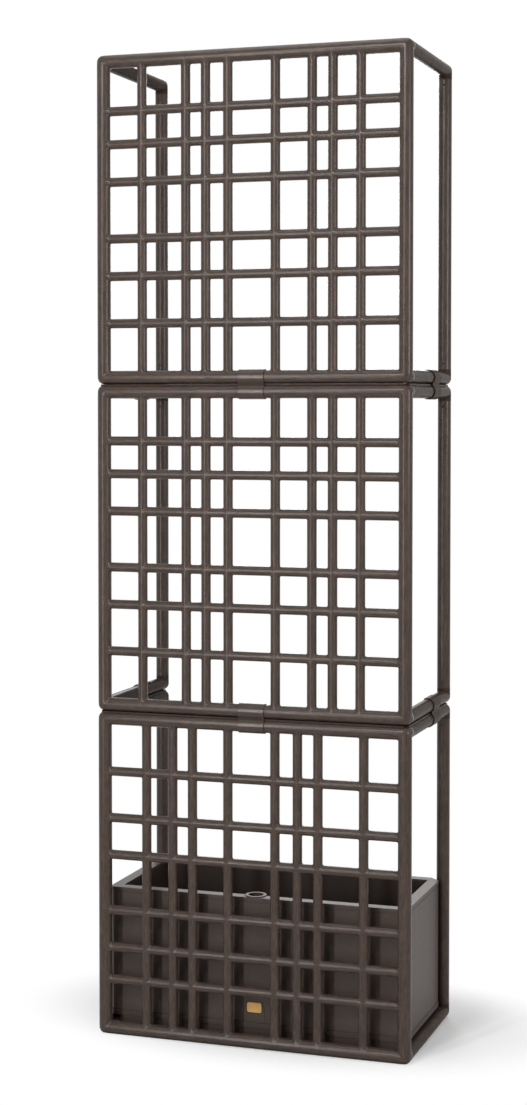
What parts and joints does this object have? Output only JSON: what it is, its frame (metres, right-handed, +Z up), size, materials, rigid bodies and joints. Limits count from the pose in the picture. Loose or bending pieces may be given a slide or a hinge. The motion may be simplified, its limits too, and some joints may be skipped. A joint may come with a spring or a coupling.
{
  "type": "planter with privacy screen",
  "caption": "Floor planter box with a water reservoir, standing inside stacked lattice privacy screen modules of round plastic tube held by snap clips.",
  "frame": {"origin": "on the floor, below the middle of the whole object's box", "axes": "+X to the right seen from the front, +Y to the back, +Z up; the lattice faces -Y"},
  "size_m": [0.8756, 0.4648, 2.635],
  "materials": {
    "frame": "mottled satin",
    "clip": "satin",
    "screw": "dark zinc",
    "casing": "fine grained",
    "foot": "matte",
    "reservoir": "matte",
    "liner": "fine grained",
    "grate": "matte",
    "float": "smooth",
    "marker": "smooth",
    "drain_plug": "satin",
    "seal": "matte"
  },
  "bodies": {
    "root": {"arm_saddles": "casing", "drain_tab": "casing", "elbow_low_lower_left": "frame", "elbow_low_lower_right": "frame", "elbow_low_upper_left": "frame", "elbow_low_upper_right": "frame", "elbow_mid_lower_left": "frame", "elbow_mid_lower_right": "frame", "elbow_mid_upper_left": "frame", "elbow_mid_upper_right": "frame", "elbow_top_lower_left": "frame", "elbow_top_lower_right": "frame", "elbow_top_upper_left": "frame", "elbow_top_upper_right": "frame", "front_arm_low_lower_left": "frame", "front_arm_low_lower_right": "frame", "front_arm_low_upper_left": "frame", "front_arm_low_upper_right": "frame", "front_arm_mid_lower_left": "frame", "front_arm_mid_lower_right": "frame", "front_arm_mid_upper_left": "frame", "front_arm_mid_upper_right": "frame", "front_arm_top_lower_left": "frame", "front_arm_top_lower_right": "frame", "front_arm_top_upper_left": "frame", "front_arm_top_upper_right": "frame", "front_clip_low": "clip", "front_clip_mid": "clip", "lattice_panel_low": "frame", "lattice_panel_mid": "frame", "lattice_panel_top": "frame", "planter_base": "casing", "planter_casing": "casing", "planter_feet": "foot", "post_screws_low": "screw", "post_screws_mid": "screw", "post_screws_top": "screw", "rear_post_low_left": "frame", "rear_post_low_right": "frame", "rear_post_mid_left": "frame", "rear_post_mid_right": "frame", "rear_post_top_left": "frame", "rear_post_top_right": "frame", "reservoir_tray": "reservoir", "side_clip_low_left": "clip", "side_clip_low_right": "clip", "side_clip_mid_left": "clip", "side_clip_mid_right": "clip"},
    "liner": {"planter_rim": "liner", "fill_collar": "liner", "liner": "liner", "soil_grate": "grate", "wick_baskets": "grate", "fill_tube": "liner", "rod_guides": "reservoir"},
    "float": {"level_float": "float", "level_rod": "float", "level_marker": "marker"},
    "plug": {"drain_plug": "drain_plug", "plug_seal": "seal"}
  },
  "joints": [
    {"name": "liner_lift", "type": "slide", "parent": "root", "child": "liner", "axis": [0, 0, 1], "range_m": [0, 0.3]},
    {"name": "float_rise", "type": "slide", "parent": "liner", "child": "float", "axis": [0, 0, 1], "range_m": [0, 0.03]},
    {"name": "drain_pull", "type": "slide", "parent": "root", "child": "plug", "axis": [0, -1, 0], "range_m": [0, 0.02]}
  ]
}
